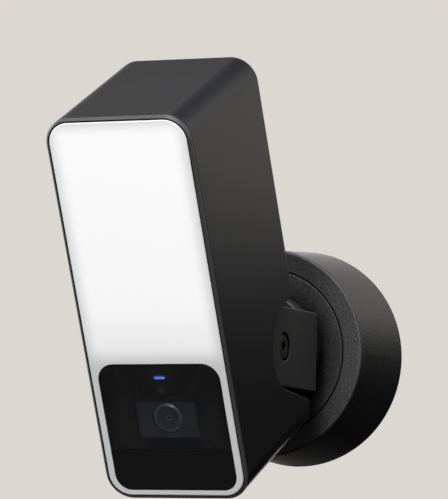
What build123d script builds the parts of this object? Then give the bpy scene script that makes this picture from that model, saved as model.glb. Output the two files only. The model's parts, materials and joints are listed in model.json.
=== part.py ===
from build123d import *
import os
from math import cos, degrees, radians, sin, tan

# Millimetres. The mount's back lies on the wall plane Y = 0, the camera looks along -Y, +Z is up.

# Wall mount
mount_back_r = 65.9
mount_taper = 3.8  # how much smaller the cover's radius is at its front
mount_depth = 58.8
mount_wall = 2.8
mount_face = 4.0  # thickness of the ring round the turning disc
mount_ring = 11.7  # width of that ring
mount_edge = 1.2
gasket_thick = 1.6
gasket_width = 3.2
bracket_thick = 2.0
tab_thick = 1.5
tab_w = 16.0
tab_height = 12.0  # how far the bracket's three tabs stand off the wall
tab_count = 3
tab_boss_r = 4.5
tab_boss = 3.0
rim_gap = 0.6
wall_hole_pcd = 96.0
wall_hole_r = 2.6
wall_hole_count = 4
box_slot_spacing = 60.0
box_slot_length = 8.0
box_slot_r = 2.1
entry_r = 7.0
grommet_wall = 4.0
grommet_flange = 2.6
lock_screw_r = 2.0
lock_screw_depth = 8.0
lock_screw_length = 8.0
lock_screw_sink = 0.4
lock_screw_hex_r = 1.3
lock_screw_hex_depth = 1.2
gasket_inset = 0.3
opening_edge = 0.4

# Clearances of fasteners and seats
thread_fit = 0.03  # shank in its tapped hole
seat_fit = 0.05  # piece pressed into its seat
screw_play = 0.3  # screw in its through hole

# Power supply behind the disc
driver_w = 52.0
driver_h = 48.0
driver_x = -18.0
board_thick = 1.6
standoff_r = 3.2
standoff_length = 16.0
standoff_inset = 5.0
screw_r = 1.25  # small board and cover screws
screw_head_r = 2.4
screw_head = 1.8
screw_bite = 8.0
standoff_bore = 9.6
terminal_w = 12.0
terminal_h = 30.0
terminal_deep = 13.0
terminal_x = 24.0
pole_pitch = 9.0
pole_count = 3
pole_r = 2.3
pole_hole_r = 2.6
pole_hole_depth = 5.0
pole_length = 3.5
pole_slot = (3.6, 0.8, 1.0)
transformer_x = -22.0
transformer_z = 3.0
transformer_w = 20.0
transformer_h = 22.0
transformer_deep = 18.0
core_share = 0.2  # each of the core's two end plates against its whole depth
coil_inset = (3.0, 6.0)
coil_corner = 3.0
capacitor_r = 5.0
capacitor_height = 16.0
capacitor_edge = 0.8
capacitor_places = ((-3.0, 10.0), (-3.0, -2.0), (-30.0, -16.0))

# Turning disc
seam = 0.6
disc_plate = 3.5
disc_drop = 0.2  # the disc's face lies just below the ring's
disc_bore_r = 8.0
disc_step = 1.0
flange_play = 0.5  # flange against the retaining ring's bosses
flange_thick = 2.4
slip_thick = 0.6
run_gap = 0.3
retainer_thick = 2.0
retainer_lap = 8.0  # how far the retaining ring reaches behind the disc's flange
retainer_boss_r = 2.9
retainer_boss_inset = 2.4  # boss axis inside the cover's wall
swivel_range = 90.0
stop_width = 5.0
stop_reach = 4.0
stop_play = 0.3  # degrees between the disc's lug and each stop at the end of its turn
disc_edge = 0.4
retainer_bore = 5.0
retainer_screw_length = 6.0

# Arm
hinge_out = 126.6  # hinge axis in front of the wall
hinge_drop = 1.2  # hinge axis below the mount's axis
arm_half_w = 40.9
arm_r = 23.3  # half height of the block and radius of its nose
arm_gap = 16.2  # from the block's back to the mount's face
arm_back_fillet = 3.0
arm_edge_fillet = 0.8
neck_r = 36.0
neck_edge = 0.8
neck_overlap = 2.0  # how far the neck's core runs into the block
neck_pocket_r = 16.0
neck_pocket = 31.0
slot_half = 27.0
slot_run = 12.0  # straight part of the fork's slot behind the hinge axis
barrel_r = 20.5
barrel_gap = 1.5
washer_thick = 1.0
washer_gap = 0.2
washer_r = 17.0
washer_bore_gap = 0.5
pivot_r = 4.0
pivot_clear = 0.1
recess_r = 8.35
recess_depth = 3.6
pivot_head_r = 6.9
pivot_head = 3.0
pivot_bite = 14.0  # how far each pivot screw reaches into the lug
pivot_edge = 0.5
hex_flats = 6.0
hex_depth = 2.2
arm_screw_r = 2.0
arm_screw_head_r = 3.5
arm_screw_head = 3.0
arm_screw_pcd = 50.0
arm_screw_bore = 12.0
arm_screw_length = 14.5

# Head
head_w = 87.6
head_h = 228.8
head_d = 103.8
head_corner = 14.9
head_wall = 3.0
head_rim = 1.5
trim_depth = 2.0  # front trim ring, from its front to the groove behind it
trim_land = 0.3  # flat left on the ring's front inside its bevel
trim_bevel_deep = 1.2
trim_groove = 0.7
trim_groove_deep = 0.6
rebate = 5.0
rear_edge = 1.0
tilt_rest = 26.1
tilt_down = 32.0  # steepest tilt, where the arm meets the head's lower edge
pivot_set_in = 16.7  # hinge axis in front of the head's back
pivot_up = -56.9  # hinge axis against the head's middle
channel_gap = 2.1
channel_corner = 6.0
fit_gap = 0.2
housing_wall = 2.6
boss_r = 4.0
boss_length = 14.0
boss_bore = 12.0
boss_inset = (8.8, 9.0)  # upper bosses from the sleeve's side and top
lower_boss_x = 30.0
lower_boss_inset = 6.8
rear_screw_length = 10.0
rear_screw_sink = 0.2
rear_screw_hex_r = 1.1
rear_screw_hex_depth = 0.8
lug_pad = 28.0
lug_pad_deep = 5.0  # how far the pad under the lug's screws reaches into the head
lug_pad_back = 2.0
lug_half_h = 17.0
lug_screw_r = 2.0
lug_screw_x = 17.0
lug_screw_v = 9.0
lug_screw_bore = 12.0
lug_screw_bite = 12.6
lead_hole_r = 5.0

# Front
front_gap = 0.6
front_proud = 0.3
diffuser_thick = 4.7
diffuser_skin = 2.3
thin_border = 4.0  # the diffuser thins out this far inside the light box's width and height
diffuser_edge = 1.0
panel_side = 6.5  # from the head's side to the panel's
panel_top = -31.7
panel_bottom = -108.7
panel_top_r = 10.2
panel_bottom_r = 8.9
panel_gap = 0.25
panel_split = -83.7
split_gap = 0.25
glass_thick = 1.6
mask_thick = 0.4
window_w = 37.7
window_h = 22.0
window_up = -65.8
window_r = 2.0
window_depth = 1.6
lens_r = 8.95
status_w = 7.2
status_h = 2.4
status_up = -40.1
dusk_r = 2.2
dusk_up = -47.5
pir_w = 58.0
pir_h = 16.0
pir_up = -96.2
pir_r = 3.0
carrier_flange = 2.0
carrier_gap = 0.5
carrier_panel_inset = 0.1
carrier_board_inset = 4.0
carrier_board_ups = (-40.0, -98.0)
pipe_gap = 0.1
pipe_board_gap = 1.0
lens_gap = 0.3

# Light engine and boards
lightbox_wall = 1.4
lightbox_side = 1.3
lightbox_top = 110.2
lightbox_bottom = -26.0
lightbox_corner_step = 2.0
led_board_depth = 24.0
led_cols = 4
led_rows = 7
led_pitch = 17.0
led_size = 3.5
led_thick = 0.7
sink_plate = 3.4
sink_side_gap = 0.4
sink_r = 10.9
fin_margin = 8.0
fin_count = 10
fin_pitch = 6.0
fin_thick = 1.6
fin_height = 22.0
main_board_depth = 58.0
main_board_side = 3.8
main_board_h = 100.0
main_board_up = 52.0
main_board_r = 2.0
main_post_inset = 3.0
main_post_pitch = 84.0
shield_size = (30.0, 26.0, 3.2)
shield_r = 2.0
shield_up = 76.0
chip_thick = 2.0
chip_spots = (((-14.0, 44.0), (14.0, 14.0)), ((12.0, 46.0), (10.0, 12.0)), ((0.0, 18.0), (22.0, 8.0)))
front_board_depth = 10.0
front_board_w = 68.0
sensor_board_depth = 24.0
sensor_board_w = 28.0
sensor_board_r = 1.5
sensor_plug = (12.0, 6.0, 3.0)
lens_front = 4.6
barrel_mouth_wall = 1.6
barrel_throat_wall = 3.4
barrel_funnel = 3.0
barrel_bore = 8.0
lens_sink = 2.2
lens_thick = 3.0
lens_bulge = 1.6
rear_lens_gap = 8.0
rear_lens_thick = 2.5
holder_w = 24.0
holder_r = 2.0
holder_deep = 9.0
front_board_r = 3.0
front_board_rim = 3.0
front_board_bore_gap = 1.5
light_chip = (3.0, 1.8, 0.8)
pir_base_r = 4.6
pir_base = 0.6
pir_can_r = 4.1
pir_can = 3.6
pir_pane = (4.0, 3.0, 0.4)
speaker_r = 14.0
speaker_thick = 11.0
speaker_basket = 4.4
speaker_magnet_r = 9.8
speaker_cone_r = 11.2
speaker_cone_sink = 1.5
speaker_depth = 43.0
grille_hole_r = 1.3
grille_pitch = 4.6
grille_counts = (1, 6, 10)
mic_r = 3.0
mic_hole_r = 0.8
mic_thick = 2.5
mic_x = 22.0
mic_depth = 16.0

tilt_c = cos(radians(tilt_rest))
tilt_s = sin(radians(tilt_rest))
hinge_y = -hinge_out
hinge_z = -hinge_drop
channel_r = arm_r + channel_gap
pivot_depth = head_d - pivot_set_in
mount_front_r = mount_back_r - mount_taper
barrel_half = slot_half - washer_thick - washer_gap
block_back = -(mount_depth + arm_gap)
disc_front = mount_depth - disc_drop
face_back = mount_depth - mount_face
flange_front = face_back - slip_thick - run_gap
flange_back = flange_front - flange_thick
retainer_front = flange_back - run_gap
retainer_back = retainer_front - retainer_thick
opening_r = mount_front_r - mount_ring
disc_r = opening_r - seam
plate_back = disc_front - disc_plate
panel_h = panel_top - panel_bottom
panel_up = (panel_top + panel_bottom) / 2
diffuser_w = head_w - 2 * (head_rim + front_gap)
diffuser_h = head_h - 2 * (head_rim + front_gap)
diffuser_r = head_corner - head_rim - front_gap
lightbox_h = lightbox_top - lightbox_bottom
lightbox_up = (lightbox_top + lightbox_bottom) / 2
lightbox_r = diffuser_r - lightbox_corner_step
sink_front = led_board_depth + board_thick
glass_back = glass_thick - front_proud
carrier_front = glass_back + mask_thick
diffuser_back = diffuser_thick - front_proud
cavity_w = head_w - 2 * head_wall
cavity_h = head_h - 2 * head_wall
cavity_r = head_corner - head_wall
panel_w = head_w - 2 * panel_side
lightbox_w = cavity_w - 2 * lightbox_side
main_board_w = cavity_w - 2 * main_board_side

# Planes: depth is measured from the wall on wall_plane and into the head on head_front
wall_plane = Plane(origin=(0, 0, 0), x_dir=(1, 0, 0), z_dir=(0, -1, 0))
arm_side = Plane(origin=(0, hinge_y, hinge_z), x_dir=(0, 1, 0), z_dir=(1, 0, 0))
head_side = Plane(origin=(0, hinge_y, hinge_z), x_dir=(0, tilt_c, tilt_s), z_dir=(1, 0, 0))
head_y = hinge_y - pivot_depth * tilt_c + pivot_up * tilt_s
head_z = hinge_z - pivot_depth * tilt_s - pivot_up * tilt_c
head_front = Plane(origin=(0, head_y, head_z), x_dir=(1, 0, 0), z_dir=(0, -tilt_c, -tilt_s))


def off_wall(depth):
    """Plane parallel to the wall, depth in front of it."""
    return wall_plane.offset(depth)


def in_head(depth):
    """Plane parallel to the head's front, depth behind it."""
    return head_front.offset(-depth)


def ring(outer_r, inner_r, start, stop):
    """Flat ring on the mount's axis from depth start to depth stop."""
    with BuildPart() as band:
        with BuildSketch(off_wall(start)):
            Circle(outer_r)
            Circle(inner_r, mode=Mode.SUBTRACT)
        extrude(amount=stop - start)
    return band.part


def head_block(width, height, radius, up, start, stop, across=0.0):
    """Rounded block in the head from depth start to depth stop."""
    with BuildPart() as block:
        with BuildSketch(in_head(start)):
            with Locations((across, up)):
                if radius:
                    RectangleRounded(width, height, radius)
                else:
                    Rectangle(width, height)
        extrude(amount=start - stop)
    return block.part


def head_rod(radius, places, start, stop):
    """Round rods in the head at the given places, as one group."""
    with BuildPart() as rods:
        with BuildSketch(in_head(start)):
            with Locations(*places):
                Circle(radius)
        extrude(amount=start - stop)
    return rods.part


def cover_radius(depth):
    """Outer radius of the tapered cover at a depth from the wall."""
    share = (depth - gasket_thick) / (mount_depth - gasket_thick)
    return mount_back_r + (mount_front_r - mount_back_r) * share


def channel_face(extra):
    """Side profile of the arm's channel, grown by extra, with the rounded lobe below it."""
    r = channel_r + extra
    fall = radians(tilt_down)
    foot_angle = 270 - tilt_down
    foot = (r * cos(radians(foot_angle)), r * sin(radians(foot_angle)))
    back_u = pivot_set_in - extra
    lobe = (back_u, foot[1] - (back_u - foot[0]) * tan(fall))
    far = pivot_set_in + head_d
    with BuildSketch() as face:
        with BuildLine():
            Line((far, r), (0, r))
            CenterArc((0, 0), r, 90, 180 - tilt_down)
            Line(foot, lobe)
            Polyline(lobe, (back_u, lobe[1] - head_d), (far, lobe[1] - head_d), (far, r))
        make_face()
        corner = face.vertices().sort_by_distance((lobe[0], lobe[1], 0))[0]
        fillet(corner, channel_corner - extra)
    return face.sketch


retainer_boss_ring = cover_radius(retainer_front) - mount_wall - retainer_boss_inset
flange_r = retainer_boss_ring - retainer_boss_r - flange_play
retainer_inner_r = flange_r - retainer_lap
stop_inner_r = retainer_inner_r - stop_reach

nodes = {}


def keep(name, shape):
    shape.label = name
    nodes[name] = shape


# Wall mount: bracket, gasket, tapered cover and its locking screw
bracket_r = cover_radius(tab_height) - mount_wall - rim_gap
standoffs = [
    (driver_x + sx * (driver_w / 2 - standoff_inset), sz * (driver_h / 2 - standoff_inset))
    for sx in (-1, 1)
    for sz in (-1, 1)
]
lock_plane = Plane(
    origin=(0, -lock_screw_depth, -cover_radius(lock_screw_depth)), x_dir=(1, 0, 0), z_dir=(0, 0, -1)
)

tab_root = bracket_r - tab_thick

with BuildPart() as bracket:
    with BuildSketch(wall_plane):
        Circle(bracket_r)
    extrude(amount=bracket_thick)
    with BuildSketch(off_wall(bracket_thick)):
        with PolarLocations(bracket_r, tab_count, -90):
            Rectangle(2 * tab_thick, tab_w)
        Circle(bracket_r, mode=Mode.INTERSECT)
        Circle(bracket_r - tab_thick, mode=Mode.SUBTRACT)
    extrude(amount=tab_height - bracket_thick)
    with BuildSketch(lock_plane.offset(-cover_radius(lock_screw_depth) + tab_root)):
        Circle(tab_boss_r)
    extrude(amount=-tab_boss)
    with BuildSketch(wall_plane):
        Circle(entry_r + grommet_wall)
        with PolarLocations(wall_hole_pcd / 2, wall_hole_count, 45):
            Circle(wall_hole_r)
        with Locations((0, box_slot_spacing / 2), (0, -box_slot_spacing / 2)):
            SlotOverall(box_slot_length, 2 * box_slot_r, rotation=90)
    extrude(amount=bracket_thick, mode=Mode.SUBTRACT)
    with BuildSketch(lock_plane):
        Circle(lock_screw_r)
    extrude(amount=-mount_back_r / 4, mode=Mode.SUBTRACT)
keep("wall_bracket", bracket.part)

with BuildPart() as posts:
    with BuildSketch(off_wall(bracket_thick)):
        with Locations(*standoffs):
            RegularPolygon(standoff_r, 6)
    extrude(amount=standoff_length)
    with BuildSketch(off_wall(bracket_thick + standoff_length)):
        with Locations(*standoffs):
            Circle(screw_r)
    extrude(amount=-standoff_bore, mode=Mode.SUBTRACT)
keep("driver_posts", posts.part)

gasket_r = mount_back_r - gasket_inset
keep("wall_gasket", ring(gasket_r, gasket_r - gasket_width, 0, gasket_thick))

with BuildPart() as cover:
    with BuildSketch(Plane.XY):
        with BuildLine():
            Polyline(
                (mount_back_r, -gasket_thick),
                (mount_front_r, -mount_depth),
                (opening_r, -mount_depth),
                (opening_r, -face_back),
                (cover_radius(face_back) - mount_wall, -face_back),
                (mount_back_r - mount_wall, -gasket_thick),
                close=True,
            )
        make_face()
    revolve(axis=Axis.Y)
    front_rings = cover.edges().filter_by(GeomType.CIRCLE).group_by(Axis.Y)[0].sort_by(SortBy.RADIUS)
    fillet(front_rings[-1], mount_edge)
    front_rings = cover.edges().filter_by(GeomType.CIRCLE).group_by(Axis.Y)[0].sort_by(SortBy.RADIUS)
    chamfer(front_rings[0], opening_edge)
    with BuildSketch(off_wall(retainer_front)):
        with PolarLocations(retainer_boss_ring, 4, 45):
            Circle(retainer_boss_r)
    extrude(amount=face_back - retainer_front)
    with BuildSketch(off_wall(retainer_front)):
        with PolarLocations(retainer_boss_ring, 4, 45):
            Circle(screw_r)
    extrude(amount=retainer_bore, mode=Mode.SUBTRACT)
    with Locations(lock_plane):
        CounterSinkHole(lock_screw_r + screw_play, 2 * lock_screw_r, depth=mount_wall * 2)
keep("mount_cover", cover.part)

lock_neck = lock_plane.offset(-lock_screw_sink - lock_screw_r + screw_play)
with BuildPart() as lock_screw:
    with BuildSketch(lock_plane.offset(-lock_screw_sink)):
        Circle(2 * lock_screw_r - lock_screw_sink)
    with BuildSketch(lock_neck):
        Circle(lock_screw_r - seat_fit)
    loft()
    with BuildSketch(lock_neck):
        Circle(lock_screw_r - seat_fit)
    extrude(amount=-lock_screw_length)
    with BuildSketch(lock_plane.offset(-lock_screw_sink)):
        RegularPolygon(lock_screw_hex_r, 6)
    extrude(amount=-lock_screw_hex_depth, mode=Mode.SUBTRACT)
keep("lock_screw", lock_screw.part)

with BuildPart() as grommet:
    with BuildSketch(wall_plane):
        Circle(entry_r + grommet_wall - seat_fit)
    extrude(amount=bracket_thick)
    with BuildSketch(off_wall(bracket_thick)):
        Circle(entry_r + grommet_wall + grommet_flange)
    extrude(amount=grommet_flange)
    with BuildSketch(wall_plane):
        Circle(entry_r)
    extrude(amount=bracket_thick + grommet_flange, mode=Mode.SUBTRACT)
keep("cable_grommet", grommet.part)

# Mains terminals on the bracket, power supply on its standoffs
with BuildPart() as terminal:
    with BuildSketch(off_wall(bracket_thick)):
        with Locations((terminal_x, 0)):
            Rectangle(terminal_w, terminal_h)
    extrude(amount=terminal_deep)
    with BuildSketch(off_wall(bracket_thick + terminal_deep)):
        with Locations((terminal_x, 0)):
            with GridLocations(0, pole_pitch, 1, pole_count):
                Circle(pole_hole_r)
    extrude(amount=-pole_hole_depth, mode=Mode.SUBTRACT)
keep("terminal_block", terminal.part)

pole_seat = bracket_thick + terminal_deep - pole_hole_depth
with BuildPart() as poles:
    with BuildSketch(off_wall(pole_seat)):
        with Locations((terminal_x, 0)):
            with GridLocations(0, pole_pitch, 1, pole_count):
                Circle(pole_r)
    extrude(amount=pole_length)
    with BuildSketch(off_wall(pole_seat + pole_length)):
        with Locations((terminal_x, 0)):
            with GridLocations(0, pole_pitch, 1, pole_count):
                Rectangle(pole_slot[0], pole_slot[1])
    extrude(amount=-pole_slot[2], mode=Mode.SUBTRACT)
keep("terminal_screws", poles.part)

driver_back = bracket_thick + standoff_length
driver_front = driver_back + board_thick
with BuildPart() as driver:
    with BuildSketch(off_wall(driver_back)):
        with Locations((driver_x, 0)):
            Rectangle(driver_w, driver_h)
        with Locations(*standoffs):
            Circle(screw_r + screw_play, mode=Mode.SUBTRACT)
    extrude(amount=board_thick)
keep("driver_board", driver.part)

with BuildPart() as driver_screws:
    with BuildSketch(off_wall(driver_front)):
        with Locations(*standoffs):
            Circle(screw_head_r)
    extrude(amount=screw_head)
    with BuildSketch(off_wall(driver_front)):
        with Locations(*standoffs):
            Circle(screw_r - thread_fit)
    extrude(amount=-screw_bite)
keep("driver_screws", driver_screws.part)

core_plate = transformer_deep * core_share
with BuildPart() as transformer:
    with BuildSketch(off_wall(driver_front)):
        with Locations((transformer_x, transformer_z)):
            Rectangle(transformer_w, transformer_h)
    extrude(amount=core_plate)
    with BuildSketch(off_wall(driver_front + core_plate)):
        with Locations((transformer_x, transformer_z)):
            RectangleRounded(transformer_w - coil_inset[0], transformer_h - coil_inset[1], coil_corner)
    extrude(amount=transformer_deep - 2 * core_plate)
    with BuildSketch(off_wall(driver_front + transformer_deep - core_plate)):
        with Locations((transformer_x, transformer_z)):
            Rectangle(transformer_w, transformer_h)
    extrude(amount=core_plate)
keep("transformer", transformer.part)

with BuildPart() as capacitors:
    with BuildSketch(off_wall(driver_front)):
        with Locations(*capacitor_places):
            Circle(capacitor_r)
    extrude(amount=capacitor_height)
    chamfer(capacitors.edges().group_by(Axis.Y)[0], capacitor_edge)
keep("driver_capacitors", capacitors.part)

# Turning disc between the cover's face ring and a retaining ring
stop_half_angle = degrees(stop_width / 2 / ((stop_inner_r + retainer_inner_r) / 2))
stop_angle = swivel_range + 2 * stop_half_angle + stop_play
stop_outer_r = retainer_inner_r - 2 * run_gap
with BuildPart() as disc:
    with BuildSketch(Plane.XY):
        with BuildLine():
            Polyline(
                (disc_bore_r, -plate_back),
                (disc_bore_r, -disc_front),
                (disc_r, -disc_front),
                (disc_r, -flange_front),
                (flange_r, -flange_front),
                (flange_r, -flange_back),
                (retainer_inner_r + disc_step, -flange_back),
                (retainer_inner_r + disc_step, -plate_back),
                close=True,
            )
        make_face()
    revolve(axis=Axis.Y)
    front_rings = disc.edges().filter_by(GeomType.CIRCLE).group_by(Axis.Y)[0].sort_by(SortBy.RADIUS)
    chamfer(front_rings[-1], disc_edge)
    with BuildSketch(off_wall(retainer_back)):
        with Locations((0, (stop_inner_r + stop_outer_r) / 2)):
            Rectangle(stop_width, stop_outer_r - stop_inner_r)
    extrude(amount=plate_back - retainer_back)
    with BuildSketch(off_wall(disc_front)):
        with PolarLocations(arm_screw_pcd / 2, 4, 45):
            Circle(arm_screw_r + screw_play)
    extrude(amount=-disc_plate * 2, mode=Mode.SUBTRACT)
keep("swivel_disc", disc.part)

keep("slip_washer", ring(flange_r - run_gap, opening_r + run_gap, face_back - slip_thick, face_back))

with BuildPart() as retainer:
    with BuildSketch(off_wall(retainer_front)):
        Circle(cover_radius(retainer_front) - mount_wall - run_gap)
        Circle(retainer_inner_r, mode=Mode.SUBTRACT)
        for turn in (90 - stop_angle, 90 + stop_angle):
            with PolarLocations((stop_inner_r + retainer_inner_r + rim_gap) / 2, 1, turn):
                Rectangle(retainer_inner_r + rim_gap - stop_inner_r, stop_width)
        with PolarLocations(retainer_boss_ring, 4, 45):
            Circle(screw_r + screw_play, mode=Mode.SUBTRACT)
    extrude(amount=-retainer_thick)
keep("retaining_ring", retainer.part)

with BuildPart() as retainer_screws:
    with BuildSketch(off_wall(retainer_back)):
        with PolarLocations(retainer_boss_ring, 4, 45):
            Circle(screw_head_r)
    extrude(amount=-screw_head)
    with BuildSketch(off_wall(retainer_back)):
        with PolarLocations(retainer_boss_ring, 4, 45):
            Circle(screw_r - thread_fit)
    extrude(amount=retainer_screw_length)
keep("retainer_screws", retainer_screws.part)

# Arm: neck and fork block in one casting
block_length = hinge_out - mount_depth - arm_gap
with BuildPart() as arm:
    with BuildSketch(arm_side):
        with BuildLine():
            CenterArc((0, 0), arm_r, 90, 180)
            Polyline((0, -arm_r), (block_length, -arm_r), (block_length, arm_r), (0, arm_r))
        make_face()
    extrude(amount=arm_half_w, both=True)
    fillet(arm.edges().filter_by(Axis.Z).group_by(Axis.Y)[-1], arm_back_fillet)
    side_faces = arm.faces().sort_by(Axis.X)
    fillet(side_faces[0].edges() + side_faces[-1].edges(), arm_edge_fillet)
    with BuildSketch(Plane.XY):
        with BuildLine():
            Polyline(
                (0, block_back - neck_overlap),
                (arm_r - neck_overlap, block_back - neck_overlap),
                (arm_r - neck_overlap, block_back),
                (neck_r - neck_edge, block_back),
                (neck_r, block_back + neck_edge),
                (neck_r, -disc_front),
                (0, -disc_front),
                close=True,
            )
        make_face()
    revolve(axis=Axis.Y)
    with BuildSketch(arm_side):
        Circle(barrel_r + barrel_gap)
        with Locations((slot_run / 2 - arm_r, 0)):
            Rectangle(2 * arm_r + slot_run, 4 * arm_r)
    extrude(amount=slot_half, both=True, mode=Mode.SUBTRACT)
    with BuildSketch(arm_side):
        Circle(pivot_r + pivot_clear)
    extrude(amount=arm_half_w, both=True, mode=Mode.SUBTRACT)
    for direction in (-1, 1):
        with BuildSketch(arm_side.offset(direction * (arm_half_w - recess_depth))):
            Circle(recess_r)
        extrude(amount=direction * 2 * recess_depth, mode=Mode.SUBTRACT)
    with BuildSketch(off_wall(disc_front)):
        with PolarLocations(arm_screw_pcd / 2, 4, 45):
            Circle(arm_screw_r + thread_fit)
    extrude(amount=arm_screw_bore, mode=Mode.SUBTRACT)
    with BuildSketch(off_wall(disc_front)):
        Circle(neck_pocket_r)
    extrude(amount=neck_pocket, mode=Mode.SUBTRACT)
    with BuildSketch(off_wall(disc_front)):
        Circle(disc_bore_r)
    extrude(amount=hinge_out - disc_front, mode=Mode.SUBTRACT)
keep("hinge_arm", arm.part)

with BuildPart() as arm_screws:
    with BuildSketch(off_wall(plate_back)):
        with PolarLocations(arm_screw_pcd / 2, 4, 45):
            Circle(arm_screw_head_r)
    extrude(amount=-arm_screw_head)
    with BuildSketch(off_wall(plate_back)):
        with PolarLocations(arm_screw_pcd / 2, 4, 45):
            Circle(arm_screw_r)
    extrude(amount=arm_screw_length)
keep("arm_screws", arm_screws.part)

with BuildPart() as washers:
    for direction in (-1, 1):
        with BuildSketch(arm_side.offset(direction * slot_half)):
            Circle(washer_r)
            Circle(pivot_r + washer_bore_gap, mode=Mode.SUBTRACT)
        extrude(amount=-direction * washer_thick)
keep("friction_washers", washers.part)

# Head: sleeve, rear housing with the arm's channel, hinge lug and pivot screws
out_of_head = Axis((0, 0, 0), (0, -tilt_c, -tilt_s))
upper_boss = (head_w / 2 - boss_inset[0], head_h / 2 - boss_inset[1])
lower_boss = (lower_boss_x, lower_boss_inset - head_h / 2)
boss_places = [(sx * x, z) for sx in (-1, 1) for x, z in (upper_boss, lower_boss)]
housing_front = head_d - housing_wall
sleeve_floor = Plane(
    origin=in_head(0).from_local_coords((0, -head_h / 2, 0)), x_dir=(1, 0, 0), z_dir=(0, tilt_s, -tilt_c)
)

lug_screw_places = [
    (sx * lug_screw_x, pivot_up + sz * lug_screw_v) for sx in (-1, 1) for sz in (-1, 1)
]

sleeve_front = trim_depth + trim_groove
with BuildPart() as sleeve:
    with BuildSketch(in_head(sleeve_front)):
        RectangleRounded(head_w, head_h, head_corner)
    extrude(amount=sleeve_front - head_d)
    fillet(sleeve.faces().sort_by(out_of_head)[0].edges(), rear_edge)
    with BuildSketch(in_head(trim_depth)):
        RectangleRounded(
            head_w - 2 * trim_groove_deep, head_h - 2 * trim_groove_deep, head_corner - trim_groove_deep
        )
    extrude(amount=-trim_groove)
    with BuildSketch(head_front):
        RectangleRounded(cavity_w, cavity_h, cavity_r)
    extrude(amount=-head_d, mode=Mode.SUBTRACT)
    with BuildSketch(head_front):
        RectangleRounded(head_w - 2 * head_rim, head_h - 2 * head_rim, head_corner - head_rim)
    extrude(amount=-rebate, mode=Mode.SUBTRACT)
    with BuildSketch(in_head(housing_front)):
        with Locations(*boss_places):
            Circle(boss_r)
    extrude(amount=boss_length)
    with BuildSketch(in_head(housing_front)):
        with Locations(*boss_places):
            Circle(screw_r)
    extrude(amount=boss_bore, mode=Mode.SUBTRACT)
    with BuildSketch(head_side):
        add(channel_face(0))
    extrude(amount=head_w, both=True, mode=Mode.SUBTRACT)
    with BuildSketch(sleeve_floor):
        with Locations((0, -speaker_depth)):
            for step, count in enumerate(grille_counts):
                with PolarLocations(step * grille_pitch, count):
                    Circle(grille_hole_r)
        with Locations((mic_x, -mic_depth)):
            Circle(mic_hole_r)
    extrude(amount=-2 * head_wall, mode=Mode.SUBTRACT)
keep("head_sleeve", sleeve.part)

trim_bevel = head_rim - trim_land
with BuildPart() as trim:
    with BuildSketch(head_front):
        RectangleRounded(head_w - 2 * trim_bevel, head_h - 2 * trim_bevel, head_corner - trim_bevel)
    with BuildSketch(in_head(trim_bevel_deep)):
        RectangleRounded(head_w, head_h, head_corner)
    loft(ruled=True)
    with BuildSketch(in_head(trim_bevel_deep)):
        RectangleRounded(head_w, head_h, head_corner)
    extrude(amount=trim_bevel_deep - trim_depth)
    with BuildSketch(head_front):
        RectangleRounded(head_w - 2 * head_rim, head_h - 2 * head_rim, head_corner - head_rim)
    extrude(amount=-trim_depth, mode=Mode.SUBTRACT)
keep("front_trim", trim.part)

with BuildPart() as housing:
    with BuildSketch(head_side):
        add(channel_face(housing_wall))
        with Locations((pivot_set_in - housing_wall / 2, -pivot_up)):
            Rectangle(housing_wall, head_h)
        with Locations((lug_pad_back - channel_r - housing_wall / 2, 0)):
            Rectangle(housing_wall + lug_pad_deep, lug_pad)
        add(channel_face(0), mode=Mode.SUBTRACT)
    extrude(amount=head_w / 2, both=True)
    with BuildSketch(head_front):
        RectangleRounded(cavity_w - 2 * fit_gap, cavity_h - 2 * fit_gap, cavity_r - fit_gap)
    extrude(amount=-head_d, mode=Mode.INTERSECT)
    with BuildSketch(in_head(head_d)):
        with Locations(*boss_places):
            Circle(screw_r + screw_play)
    extrude(amount=housing_wall, mode=Mode.SUBTRACT)
    with BuildSketch(in_head(head_d)):
        with Locations(*boss_places):
            Circle(screw_head_r + screw_play)
    extrude(amount=housing_wall / 2, mode=Mode.SUBTRACT)
    with BuildSketch(in_head(pivot_depth - channel_r)):
        with Locations(*lug_screw_places):
            Circle(lug_screw_r + screw_play)
        with Locations((0, pivot_up)):
            Circle(lead_hole_r)
    extrude(amount=channel_r / 2, both=True, mode=Mode.SUBTRACT)
keep("rear_housing", housing.part)

cover_screw_seat = head_d - housing_wall / 2
with BuildPart() as rear_screws:
    with BuildSketch(in_head(cover_screw_seat)):
        with Locations(*boss_places):
            Circle(screw_head_r)
    extrude(amount=-(housing_wall / 2 - rear_screw_sink))
    with BuildSketch(in_head(head_d - rear_screw_sink)):
        with Locations(*boss_places):
            RegularPolygon(rear_screw_hex_r, 6)
    extrude(amount=rear_screw_hex_depth, mode=Mode.SUBTRACT)
    with BuildSketch(in_head(cover_screw_seat)):
        with Locations(*boss_places):
            Circle(screw_r - thread_fit)
    extrude(amount=rear_screw_length)
keep("rear_screws", rear_screws.part)

with BuildPart() as lug:
    with BuildSketch(head_side):
        Circle(channel_r - seat_fit)
        with Locations((-channel_r, 0)):
            Rectangle(2 * channel_r, 2 * lug_half_h, mode=Mode.INTERSECT)
        Circle(barrel_r)
    extrude(amount=barrel_half, both=True)
    with BuildSketch(head_side):
        Circle(pivot_r + thread_fit)
    extrude(amount=barrel_half, both=True, mode=Mode.SUBTRACT)
    with BuildSketch(in_head(pivot_depth - channel_r)):
        with Locations(*lug_screw_places):
            Circle(lug_screw_r + thread_fit)
    extrude(amount=-lug_screw_bore, mode=Mode.SUBTRACT)
    with BuildSketch(in_head(pivot_depth - channel_r)):
        with Locations((0, pivot_up)):
            Circle(lead_hole_r)
    extrude(amount=-2 * channel_r, mode=Mode.SUBTRACT)
keep("hinge_lug", lug.part)

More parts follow.
